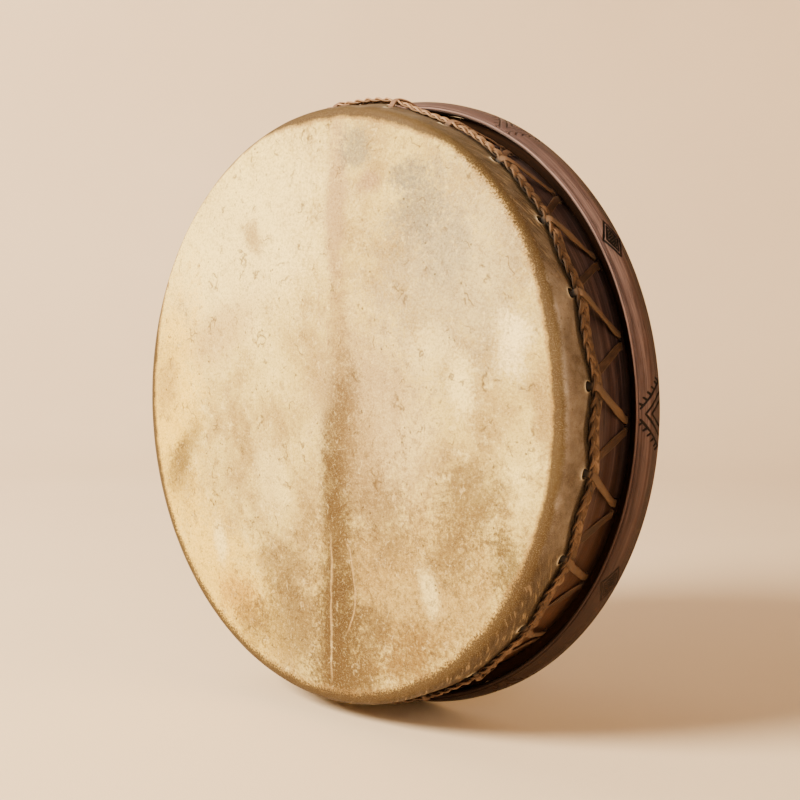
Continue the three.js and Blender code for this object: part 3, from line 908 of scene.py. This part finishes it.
def laid_flat(angle, radius, depth, _):
    """Where a place would be if the hide were laid flat, in face radii."""
    flat = radius
    if depth > SHOULDER:
        flat = FACE_RADIUS + SHOULDER * pi / 2 + depth - SHOULDER
    elif radius > FACE_RADIUS:
        flat = FACE_RADIUS + SHOULDER * asin(min(1, (radius - FACE_RADIUS) / SHOULDER))
    return flat * cos(radians(angle)) / FACE_RADIUS, flat * sin(radians(angle)) / FACE_RADIUS


def hole_rim(angle, radius, depth, _):
    """1 on a hole's front rim, where the hide's pale inside shows."""
    if depth <= SHOULDER or radius <= SKIN_RADIUS - 0.3:
        return 0
    distance, _ = hole_distance(angle, depth)
    front = max(0.15, (SKIN_HOLE_DEPTH + 1 - depth) / (distance + 0.3))
    return front * exp(-max(0, distance - LACE_HOLE) / 0.5)


def hole_and_braid_shade(angle, radius, depth, _):
    """Painted shade: 1 in the lace holes and beside the braid's front edge, where shade falls."""
    distance, _ = hole_distance(angle, depth)
    if distance < LACE_HOLE + 0.6 and radius < SKIN_RADIUS - 0.3:
        return 1
    if depth <= SHOULDER:
        return 0
    before_braid = braid_middle(angle) - collar_shift(angle) - BRAID_WIDTH / 2 - depth
    return exp(-(max(0, before_braid - 0.4) / 0.9) ** 2) * (1 - crown(angle) / 7.5)


def make_skin():
    columns = []
    for index in range(LACE_COUNT - 1, -1, -1):
        hole = skin_hole(index)
        columns += spread(hole - SKIN_PATCH_ANGLE, hole + SKIN_PATCH_ANGLE, 2 * SKIN_PATCH_ANGLE / 8)
        columns += spread(hole + SKIN_PATCH_ANGLE, hole + LACE_STEP - SKIN_PATCH_ANGLE, 1.2)
    outline = skin_outline()
    walls = (SKIN_RADIUS, SKIN_RADIUS - SKIN_THICKNESS)
    ring = Ring(columns, outline, walls, closed=False, warp=skin_warp)
    rings = [(0.35, 0), (0.65, 0), (0.86, 0), (0.96, 0.1), (1.0, 0.45)]
    for index in range(LACE_COUNT):
        patch = (SKIN_PATCH_ANGLE, SKIN_PATCH_DEPTH)
        ring.drill(Bore(skin_hole(index), SKIN_HOLE_DEPTH, LACE_HOLE, *patch), rings)
    mesh = ring.build("skin", sharp=70)
    length = 2 * pi * SKIN_RADIUS * MM
    collar = [((a - columns[0]) % 360 / 360 * length, depth * MM) for a, _, depth, _ in ring.places]
    set_uv(mesh, "hide", [laid_flat(*place) for place in ring.places])
    set_uv(mesh, "collar", collar, wrap=length)
    set_attribute(mesh, "rim", [hole_rim(*place) for place in ring.places])
    # painted shade for the lace holes and the braid's front edge
    set_attribute(mesh, "hole_and_braid_shade", [hole_and_braid_shade(*place) for place in ring.places])
    piece = link("skin", mesh, rawhide_material())
    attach(piece, "root")
    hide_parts("drum_head")


# ---------------------------------------------------------------- wooden hoops

SHELL_PATCH_ANGLE = (STITCH_END - STITCH_START) / 2
SHELL_PATCH_DEPTH = 3.9
PEG_PATCH_ANGLE = 1.1
SEAM = 180  # a hoop's grain starts and ends at this angle, on the side away from the camera


def shell_outline():
    patch_front, patch_back = (SHELL_HOLE_DEPTH + side * SHELL_PATCH_DEPTH for side in (-1, 1))
    peg_front, peg_back = (PEG_DEPTH + side * SHELL_PATCH_DEPTH for side in (-1, 1))
    depths = spread(9.0, patch_front, 4.0) + spread(patch_front, patch_back, 1.3)
    depths += spread(patch_back, peg_front, 1.3) + spread(peg_front, peg_back, 1.3) + [peg_back]
    crest = [(SHELL_BORE + 4.3, SHELL_CREST), (SHELL_RADIUS - 2.0, SHELL_CREST + 0.5)]
    crest += [(SHELL_RADIUS - 0.7, SHELL_CREST + 2.0), (SHELL_RADIUS, SHELL_CREST + 4.4)]
    outer = crest + [(SHELL_RADIUS, d) for d in depths]
    back = [(SHELL_RADIUS - 0.2, DRUM_DEPTH - 0.2), (SHELL_RADIUS - 0.8, DRUM_DEPTH)]
    back += [(SHELL_BORE + 1.0, DRUM_DEPTH), (SHELL_BORE + 0.3, DRUM_DEPTH - 0.3)]
    inner = [(SHELL_BORE, d) for d in reversed(depths)]
    return outer + back + inner + [(SHELL_BORE, SHELL_CREST + 3.4)]


def past_seam(angle):
    return round((angle - SEAM) % 360 + SEAM, 3)


def shell_columns(lace_angles, peg_angles):
    """Six columns across each hole's patch, and wider ones between the patches."""
    marks = {}
    for angles, half in ((lace_angles, SHELL_PATCH_ANGLE), (peg_angles, PEG_PATCH_ANGLE)):
        for angle in angles:
            marks[past_seam(angle - half)] = 6
            marks.setdefault(past_seam(angle + half), 0)
    ordered = sorted(marks)
    columns = []
    for start, end in zip(ordered, ordered[1:] + [ordered[0] + 360]):
        if end - start > 1e-3:
            columns += spread(start, end, (end - start) / marks[start] if marks[start] else 1.2)
    return columns


def make_shell():
    lace_angles = [even_hole(k) - s for k in range(LACE_COUNT) for s in (STITCH_START, STITCH_END)]
    peg_angles = [FIRST_PEG + k * 360 / PEG_COUNT for k in range(PEG_COUNT)]
    columns = shell_columns(lace_angles, peg_angles)
    ring = Ring(columns, shell_outline(), (SHELL_RADIUS, SHELL_BORE), warp=shell_warp)
    rings = [(0.6, 0), (0.9, 0.02), (0.97, 0.2), (1.0, 0.6)]
    for angle in lace_angles:
        patch = (SHELL_PATCH_ANGLE - 0.01, SHELL_PATCH_DEPTH)
        ring.drill(Bore(angle, SHELL_HOLE_DEPTH, LACE_HOLE, *patch), rings)
    for angle in peg_angles:
        ring.drill(Bore(angle, PEG_DEPTH, PEG_RADIUS + 0.12, PEG_PATCH_ANGLE, SHELL_PATCH_DEPTH), rings)
    mesh = ring.build("shell", sharp=60)
    ring.around(mesh)
    # painted shade on the shell's outer side deep in the channel
    set_attribute(mesh, "channel_shade", [
        max(0.0, min(1.0, (d - 67.5) / 4)) if r > SHELL_RADIUS - 0.5 and d < DRUM_DEPTH - 1 else 0
        for _, r, d, _ in ring.places
    ])
    # the shell's foot colour is painted reddish bounce light on its lower part
    piece = link("shell", mesh, wood_material(
        "shell_walnut", (0.0080, 0.0038, 0.0032), (0.0370, 0.0215, 0.0215), (0.112, 0.074, 0.071), 0.58,
        foot=(0.070, 0.030, 0.013), channel_shade=True))
    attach(piece, "root")
    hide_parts("shell_hoop")


def shell_warp(angle, radius, depth):
    return radius + 0.12 * ring_wobble(angle, 4, depth / 30), depth


def make_spacer():
    inside, outside = SHELL_RADIUS + GAP, SPACER_RADIUS
    outline = [(inside, CHANNEL_DEPTH + 0.5), (inside + 0.5, CHANNEL_DEPTH), (outside - 0.5, CHANNEL_DEPTH)]
    outline += [(outside, CHANNEL_DEPTH + 0.5), (outside, DRUM_DEPTH - 0.6), (outside - 0.6, DRUM_DEPTH)]
    outline += [(outside - 4, DRUM_DEPTH), (inside + 0.6, DRUM_DEPTH), (inside, DRUM_DEPTH - 0.6)]
    ring = Ring(spread(0, 360, 1.5), outline)
    mesh = ring.build("spacer", sharp=60)
    ring.around(mesh)
    # the spacer is painted nearly black: painted shade in the channel between the shell and the hoop
    piece = link("spacer", mesh, wood_material(
        "spacer_wood", (0.004, 0.0018, 0.0009), (0.009, 0.004, 0.002), (0.018, 0.008, 0.004), 0.85,
        specular=0.04))
    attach(piece, "root")
    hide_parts("spacer_hoop")


# Carved motifs on the rear hoop, one every 30 degrees, of generic chevrons and diamonds. A stroke
# runs between two places, each given along the hoop and as a depth, in millimetres.
MOTIF_STEP = 30
FACE_FRONT = LIP_DEPTH + 1.6
FACE_BACK = DRUM_DEPTH - 1.9
CUT_DEPTH = 0.8
CUT_HALF_WIDTH = 1.0
FINE = 0.42  # grid spacing in a motif


def chevron_strokes():
    """Three nested chevrons that point at the lip, with short ticks outside the largest."""
    strokes = []
    wide, narrow = 20.5, 3.6
    nested = ((wide, narrow, 0), (13.5, 0.2, 3.4), (7.8, 0.2, 7.8))
    for half, tip_half, tip in nested:
        for side in (-1, 1):
            strokes.append(((side * half, FACE_BACK), (side * tip_half, FACE_FRONT + tip)))
    slope = (FACE_BACK - FACE_FRONT) / (wide - narrow)
    for side in (-1, 1):
        for tick in range(5):
            foot = 5.5 + tick * 3.3
            depth = FACE_FRONT + (foot - narrow) * slope
            strokes.append(((side * foot, depth - 0.5), (side * (foot + 1.6), depth - 3.0)))
        strokes.append(((side * wide, FACE_BACK), (side * 22.6, FACE_BACK - 3.2)))
    return strokes


def diamond_strokes():
    """Two nested diamonds, the inner one hatched."""
    middle = (FACE_FRONT + FACE_BACK) / 2
    strokes = []
    for half, rise in ((13.5, 6.9), (9.3, 4.5)):
        tips = [(-half, middle), (0, middle - rise), (half, middle), (0, middle + rise)]
        strokes += list(zip(tips, tips[1:] + tips[:1]))
    for k in range(-3, 4):
        reach = 3.6 * (1 - abs(k) / 4.4)
        strokes.append(((k * 1.9 - reach * 0.5, middle - reach), (k * 1.9 + reach * 0.5, middle + reach)))
    return strokes


MOTIFS = [(chevron_strokes(), 24.0), (diamond_strokes(), 15.0)]


def stroke_distance(u, v, stroke):
    (x0, y0), (x1, y1) = stroke
    dx, dy = x1 - x0, y1 - y0
    share = max(0.0, min(1.0, ((u - x0) * dx + (v - y0) * dy) / (dx * dx + dy * dy)))
    return hypot(u - x0 - share * dx, v - y0 - share * dy), share


def cut_at(angle, depth):
    """How deep the carving is at a place, from 0 to 1."""
    if not FACE_FRONT - 1 <= depth <= FACE_BACK + 1:
        return 0.0
    number = round(angle / MOTIF_STEP)
    strokes, half = MOTIFS[number % 2]
    u = radians(angle - number * MOTIF_STEP) * HOOP_RADIUS
    if abs(u) > half:
        return 0.0
    deepest = 0.0
    for k, stroke in enumerate(strokes):
        distance, share = stroke_distance(u, depth, stroke)
        width = CUT_HALF_WIDTH * (0.85 + 0.25 * wobble(u / 5, depth / 5, number * 1.7 + k))
        if distance < width:
            fall = 1 - distance / width
            deepest = max(deepest, fall * (2 - fall) * min(1, 0.45 + 2.2 * min(share, 1 - share) + 0.25))
    return deepest


def hoop_warp(angle, radius, depth):
    if radius < HOOP_BORE + 1:
        return radius, depth
    swell = 0.12 * ring_wobble(angle, 5, depth / 18) - 0.10
    on_face = radius > LIP_RADIUS - 0.4
    return radius + swell - (CUT_DEPTH * cut_at(angle, depth) if on_face else 0), depth


def hoop_face_radius(depth):
    """The face swells from the lip's edge to the level foot band."""
    share = min(1.0, (depth - FACE_FRONT) / (FACE_BACK - 4.6 - FACE_FRONT))
    return LIP_RADIUS + (HOOP_RADIUS - LIP_RADIUS) * sin(share * pi / 2) ** 0.9


def hoop_outline():
    """From the lip's bead and groove, over the carved face and the rear edge, to the bore."""
    flat, bead = LIP_DEPTH + 0.5, HOOP_BORE + 2.8
    front = [(HOOP_BORE, flat + 4.2), (HOOP_BORE + 0.3, flat + 3.2), (HOOP_BORE + 1.1, flat + 1.1)]
    front += [(bead - 1.25, flat + 0.35), (bead - 0.95, flat + 0.45)]
    for step in range(9):
        turn = pi * step / 8
        front.append((bead - 0.8 * cos(turn), flat - 0.5 * sin(turn)))
    front += [(bead + 0.95, flat + 0.6), (bead + 1.25, flat + 0.3)]
    front += [(LIP_RADIUS - 0.7, flat + 0.25), (LIP_RADIUS - 0.25, flat + 0.5), (LIP_RADIUS, flat + 1.0)]
    depths = spread(FACE_FRONT, FACE_BACK, FINE) + [FACE_BACK]
    face = [(hoop_face_radius(d), d) for d in depths]
    back = [(HOOP_RADIUS - r, DRUM_DEPTH - d) for r, d in ((0, 1.4), (0.25, 0.6), (0.8, 0.12), (1.5, 0))]
    back += [(HOOP_BORE + 3.5, DRUM_DEPTH), (HOOP_BORE + 0.7, DRUM_DEPTH)]
    back += [(HOOP_BORE, DRUM_DEPTH - 0.7), (HOOP_BORE, CHANNEL_DEPTH)]
    return front + face + back


def make_hoop():
    columns = []
    first = round(SEAM / MOTIF_STEP)
    for number in range(first, first + round(360 / MOTIF_STEP)):
        half = degrees(MOTIFS[number % 2][1] / HOOP_RADIUS)
        following = degrees(MOTIFS[(number + 1) % 2][1] / HOOP_RADIUS)
        middle = number * MOTIF_STEP
        fine = degrees(FINE / HOOP_RADIUS)
        columns += spread(middle - half, middle + half, fine)
        columns += spread(middle + half, middle + MOTIF_STEP - following, 0.9)
    ring = Ring(columns, hoop_outline(), warp=hoop_warp)
    mesh = ring.build("rear_hoop", sharp=75)
    ring.around(mesh)
    # the carving's depth, which also sets the painted shade in the grooves
    cuts = [cut_at(a, d) if r > LIP_RADIUS - 0.4 else 0 for a, r, d, _ in ring.places]
    set_attribute(mesh, "cut", cuts)
    # painted shade on the lip's inner bevel
    set_attribute(mesh, "channel_shade", [
        0.7 if r < HOOP_BORE + 2.05 and d < CHANNEL_DEPTH + 1 else 0.0 for _, r, d, _ in ring.places
    ])
    # where the painted highlight along the lip's bead goes
    set_attribute(mesh, "lip_highlight", [
        exp(-(((r - HOOP_BORE - 2.8) / 0.6) ** 2)) * (d < LIP_DEPTH + 0.7) for _, r, d, _ in ring.places
    ])
    piece = link("rear_hoop", mesh, wood_material(
        "hoop_walnut", (0.0145, 0.0074, 0.0066), (0.066, 0.0385, 0.0365), (0.152, 0.098, 0.090), 0.50,
        carved=True, channel_shade=True))
    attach(piece, "root")
    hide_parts("carved_hoop")


PEG_SIDES = 24


def peg_mesh(index):
    angle = FIRST_PEG + index * 360 / PEG_COUNT
    out, on, rear = outward(angle), onward(angle), Vector((0, 1, 0))
    tip = LIP_RADIUS - 0.6
    outline = [(0, SHELL_BORE - 0.35), (1.4, SHELL_BORE - 0.3), (PEG_RADIUS - 0.35, SHELL_BORE - 0.1)]
    outline += [(PEG_RADIUS, SHELL_BORE + 0.35), (PEG_RADIUS, tip - 0.4), (PEG_RADIUS - 0.4, tip), (0, tip)]
    coords = []

    def place(radius, turn, reach):
        coords.append(((reach + index * 31) * MM, radius * cos(turn) * MM))
        swell = 1 + 0.03 * wobble(cos(turn) + index, sin(turn), 7)
        offset = (on * cos(turn) + rear * sin(turn)) * radius * swell
        return at(angle, PEG_DEPTH, 0) + (out * reach + offset) * MM

    mesh = finish_mesh(f"peg_{index + 1}", *lathe(outline, PEG_SIDES, place), sharp=50)
    set_uv(mesh, "around", coords)
    return mesh


def make_pegs():
    """Round wooden pegs, whose trimmed ends show on the shell's inner side."""
    material = wood_material("peg_wood", (0.10, 0.05, 0.024), (0.19, 0.10, 0.05), (0.28, 0.16, 0.085), 0.6)
    for index in range(PEG_COUNT):
        piece = link(f"peg_{index + 1}", peg_mesh(index), material)
        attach(piece, "root")
        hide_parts(f"hoop_peg_{index + 1}")


# ---------------------------------------------------------------- braid and lacing

PLAITS = 47  # periods of the three-strand plait round the drum
STRAND_WIDTH = 4.7
STRAND_THICKNESS = 1.35
STEPS_PER_PLAIT = 24
EDGE_SLOPE = radians(35)


def braid_middle(angle):
    bow = BRAID_BOW * bow_share(angle) * sin(pi * past_hole(angle) / LACE_STEP) ** 2
    return BRAID_BACK - BRAID_WIDTH / 2 + 1.0 - bow + 1.25 * collar_shift(angle)


def make_braid():
    """Three plaited strands, with a flat thong laid along their rear side."""
    # the braid's dark edge colour is painted shade in the gaps between strands
    material = leather_material(
        "braid_leather", (0.022, 0.011, 0.005), (0.079, 0.042, 0.022), (0.262, 0.163, 0.097), 0.62,
        edge=(0.016, 0.008, 0.004))
    for strand in range(3):
        points = [strand_point(strand, k) for k in range(PLAITS * STEPS_PER_PLAIT)]
        stations, shade_under = [], []
        for k, (_, height) in enumerate(points):
            ahead = points[(k + 1) % len(points)][0] - points[k - 1][0]
            phase = plait_phase(strand, k)
            tilt = 0.25 * sin(phase) + 0.25 * wobble(k / 9, strand, 3)
            width = STRAND_WIDTH * (1 + 0.12 * wobble(k / 11, strand, 9)) * (1 - 0.15 * abs(sin(phase)))
            thick = STRAND_THICKNESS * (1 + 0.15 * wobble(k / 8, strand, 6))
            stations.append(station(points[k][0], ahead, outward(plait_angle(k)), tilt, width, thick))
            # painted shade where the strand runs beneath the others
            shade_under.append(max(0.0, -height))
        add_braid_piece(f"braid_strand_{strand + 1}", stations, shade_under, material)
    add_braid_piece("braid_edge", edge_stations(), None, material)


def add_braid_piece(name, stations, shade_under, material):
    mesh = sweep(name, stations, closed=True)
    share = len(mesh.vertices) // len(stations)
    set_attribute(mesh, "shade_under", [u for u in shade_under or [0.0] * len(stations) for _ in range(share)])
    piece = link(name, mesh, material)
    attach(piece, "root")
    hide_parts("braid_band")


def plait_angle(k):
    return -360 * k / (PLAITS * STEPS_PER_PLAIT)


def plait_phase(strand, k):
    return 2 * pi * (k / STEPS_PER_PLAIT + strand / 3)


def strand_point(strand, k):
    """A place on a strand's middle line, and its height in the plait from -1 to 1."""
    angle, phase = plait_angle(k), plait_phase(strand, k)
    uneven = 1 + 0.22 * ring_wobble(angle, 14, strand * 5.0)
    side = (BRAID_WIDTH - STRAND_WIDTH + 0.6) / 2 * uneven * sin(phase)
    height = sin(2 * phase)
    lift = 0.25 * ring_wobble(angle, 9, 20.0)
    radius = BRAID_RADIUS - 1.3 + 0.95 * height + lift + crown(angle)
    return at(angle, braid_middle(angle) + side, radius), height


def station(middle, ahead, out, tilt, width, thickness):
    ahead = ahead.normalized()
    across = ahead.cross(out).normalized()
    facing = across.cross(ahead).normalized()
    spun = Matrix.Rotation(tilt, 3, ahead)
    return middle, spun @ across, spun @ facing, width * MM, thickness * MM


def edge_stations():
    """The flat thong that lies along the plait's rear side, sloping down to the shell."""
    count = PLAITS * 8
    points = []
    for k in range(count):
        angle = -360 * k / count
        drift = ring_wobble(angle, 6, 31.0)
        weave = 0.5 * sin(2 * pi * k / 16)
        depth = braid_middle(angle) + BRAID_WIDTH / 2 + 0.5 + 0.9 * drift + 0.3 * weave
        points.append(at(angle, depth, BRAID_RADIUS - 2.3 + 0.4 * weave + crown(angle)))
    stations = []
    for k in range(count):
        ahead = points[(k + 1) % count] - points[k - 1]
        width = 3.0 * (1 + 0.2 * wobble(k / 9, 4.4, 12))
        tilt = EDGE_SLOPE * (1 + 0.3 * wobble(k / 13, 2.2, 8))
        stations.append(station(points[k], ahead, outward(-360 * k / count), tilt, width, 1.2))
    return stations


# One step of the lacing, from a skin hole to the next. A row is the angle past the skin hole, the
# depth, the radius, and which way the thong's flat side faces: outward, rearward and onward.
UNDER_SKIN = SHELL_RADIUS + 1.0
OVER_BRAID = BRAID_RADIUS + 1.1
IN_WALL = SHELL_RADIUS - SHELL_WALL / 2
OVER_STRAP = [
    (0, 25.8, 209.4, (0, 1, 0)),
    (0, 26.7, 211.4, (-0.5, 1, 0)),
    (0.1, 28.2, 213.3, (-1, 0.6, 0)),
    (0.4, 29.9, OVER_BRAID - 0.1, (-1, 0, 0)),
    (0.9, 32.0, OVER_BRAID, (-1, 0, 0)),
    (1.5, 35, OVER_BRAID - 0.3, (-1, 0, 0)),
    (5.75, 64.5, 208.7, (-1, 0, 0)),
    (6.05, 68.8, 208.3, (-1, -0.4, 0)),
    (STITCH_START, 70.2, 207.1, (-0.5, -1, 0)),
    (STITCH_START, SHELL_HOLE_DEPTH, 206, (0, -1, 0)),
]
STITCH = [
    (STITCH_START, SHELL_HOLE_DEPTH, IN_WALL, (0, -1, 1)),
    (STITCH_START, SHELL_HOLE_DEPTH, 199.2, (0, 0, 1)),
    (6.45, SHELL_HOLE_DEPTH, 196.9, (1, 0, 1)),
    (7.08, SHELL_HOLE_DEPTH, 196.2, (1, 0, 0)),
    (7.71, SHELL_HOLE_DEPTH, 196.9, (1, 0, -1)),
    (STITCH_END, SHELL_HOLE_DEPTH, 199.2, (0, 0, -1)),
    (STITCH_END, SHELL_HOLE_DEPTH, IN_WALL, (0, 1, -1)),
]
RETURN_STRAP = [
    (STITCH_END, SHELL_HOLE_DEPTH, 206, (0, 1, 0)),
    (STITCH_END, 70.2, 207.1, (0.5, 1, 0)),
    (8.11, 68.8, 208.2, (1, 0.4, 0)),
    (8.45, 64, 208.2, (1, 0, 0)),
    (13.6, 34, UNDER_SKIN, (1, 0, 0)),
    (14.8, 28, UNDER_SKIN, (1, 0, 0)),
    (LACE_STEP, 25.9, UNDER_SKIN, (1, 0.1, 0)),
    (LACE_STEP, 24.4, 208.2, (1, 1, 0)),
]
KNOT_LACE = 12
TAIL_RADIUS = 195.9
TAIL_IN = [STITCH[0], (STITCH_START, SHELL_HOLE_DEPTH, TAIL_RADIUS, (0, 0, 1))]
TAIL_OUT = [(STITCH_END, SHELL_HOLE_DEPTH, TAIL_RADIUS, (0, 0, -1)), STITCH[-1]]
TWISTS = 20.0  # how unevenly the free straps lie, in degrees


def place_rows(rows, index):
    placed = []
    for past, depth, radius, (out, rear, on) in rows:
        near = index if past < LACE_STEP / 2 else index + 1
        loose = max(0.0, min(1.0, (62 - depth) / 30))
        angle = even_hole(index) - past + loose * (skin_hole(near) - even_hole(near))
        depth += loose * collar_shift(angle)
        radius += min(1.0, loose * 1.4) * crown(angle)
        facing = outward(angle) * out + Vector((0, rear, 0)) + onward(angle) * on
        placed.append((at(angle, depth, radius), facing.normalized()))
    return placed


def smooth_route(route, step, rounds):
    """Cuts a route into short steps and rounds its corners."""
    dense = []
    for (p, f), (q, g) in zip(route, route[1:]):
        count = max(1, ceil((q - p).length / step))
        dense += [(p.lerp(q, k / count), f.lerp(g, k / count)) for k in range(count)]
    dense.append(route[-1])
    for _ in range(rounds):
        cut = [dense[0]]
        for (p, f), (q, g) in zip(dense, dense[1:]):
            cut += [(p.lerp(q, 0.25), f.lerp(g, 0.25)), (p.lerp(q, 0.75), f.lerp(g, 0.75))]
        cut.append(dense[-1])
        dense = cut
    return dense


def route_stations(route, width, thickness, unevenness):
    stations = []
    last = len(route) - 1
    for k, (point, facing) in enumerate(route):
        ahead = (route[min(k + 1, last)][0] - route[max(k - 1, 0)][0]).normalized()
        across = ahead.cross(facing).normalized()
        flat = across.cross(ahead).normalized()
        depth = point.y / MM - FACE_Y
        free = max(0.0, min(1.0, (depth - 36) / 8, (66 - depth) / 5))
        spun = Matrix.Rotation(radians(unevenness) * free * wobble(k / 34, 3.3, 5) * 2.2, 3, ahead)
        wide = width * (1 + 0.10 * wobble(k / 17, 1.1, 2))
        thick = thickness * (1 + 0.10 * wobble(k / 12, 7.7, 4))
        stations.append((point, spun @ across, spun @ flat, wide * MM, thick * MM))
    return stations


def hole_shade(place):
    """Painted shade: 1 where the thong is down in a skin hole, where shade falls, and 0 outside."""
    radius = hypot(place.x, place.z - AXIS_Z * MM) / MM
    before = place.y / MM - FACE_Y < 40
    return max(0.0, min(1.0, (SKIN_RADIUS + 1.9 - radius) / 1.2)) if before else 0.0


def make_lace(material):
    route = place_rows(TAIL_OUT + RETURN_STRAP, KNOT_LACE)
    for index in range(KNOT_LACE + 1, KNOT_LACE + LACE_COUNT):
        route += place_rows(OVER_STRAP + STITCH + RETURN_STRAP, index)
    route += place_rows(OVER_STRAP + TAIL_IN, KNOT_LACE + LACE_COUNT)
    stations = route_stations(smooth_route(route, 3.0 * MM, 2), LACE_WIDTH, LACE_THICKNESS, TWISTS)
    mesh = sweep("lace_thong", stations, closed=False, curl=0.55)
    # painted shade on the thong down in the skin holes
    set_attribute(mesh, "shade_under", [hole_shade(vertex.co) for vertex in mesh.vertices])
    piece = link("lace_thong", mesh, material)
    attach(piece, "root")
    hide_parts("lace")


def make_knot(material):
    """An overhand knot in the thong's two ends, with the ends left short."""
    middle_angle = even_hole(KNOT_LACE) - (STITCH_START + STITCH_END) / 2
    out, on, rear = outward(middle_angle), onward(middle_angle), Vector((0, 1, 0))
    centre = at(middle_angle, SHELL_HOLE_DEPTH, SHELL_BORE - 5.3)
    route = []
    count = 60
    for k in range(count + 1):
        t = 2 * pi * k / count
        x = (sin(t) + 2 * sin(2 * t)) * 1.55
        y = (cos(t) - 2 * cos(2 * t)) * 1.15
        z = -sin(3 * t) * 1.5
        spot = centre + (on * x + rear * y + out * z) * MM
        swing = (on * cos(t * 2) + out * 1.2 + rear * sin(t * 2)).normalized()
        route.append((spot, swing))
    rows = ((2.5, -0.5, 0.0), (6.0, -1.5, 1.5), (9.5, 0.3, 4.5), (12.5, 2.2, 8.5))
    for side in (-1, 1):
        tail = [(centre + (on * side * x + out * z + rear * side * y) * MM, out) for x, z, y in rows]
        stations = route_stations(smooth_route(tail, 1.5 * MM, 2), LACE_WIDTH * 0.9, LACE_THICKNESS, 0)
        name = "knot_tail_1" if side < 0 else "knot_tail_2"
        add_knot_piece(sweep(name, stations, closed=False), material)
    stations = route_stations(route[:-1], LACE_WIDTH * 0.62, LACE_THICKNESS * 1.4, 0)
    add_knot_piece(sweep("knot", stations, closed=True), material)


def add_knot_piece(mesh, material):
    piece = link(mesh.name, mesh, material)
    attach(piece, "root")
    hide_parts("lace_knot")


make_camera()
make_lights()
make_backdrop()
make_skin()
make_shell()
make_spacer()
make_hoop()
make_pegs()
make_braid()
thong = leather_material(
    "lace_leather", (0.013, 0.0066, 0.004), (0.047, 0.0248, 0.0145), (0.114, 0.064, 0.039), 0.58,
    edge=(0.115, 0.068, 0.038))
make_lace(thong)
make_knot(thong)
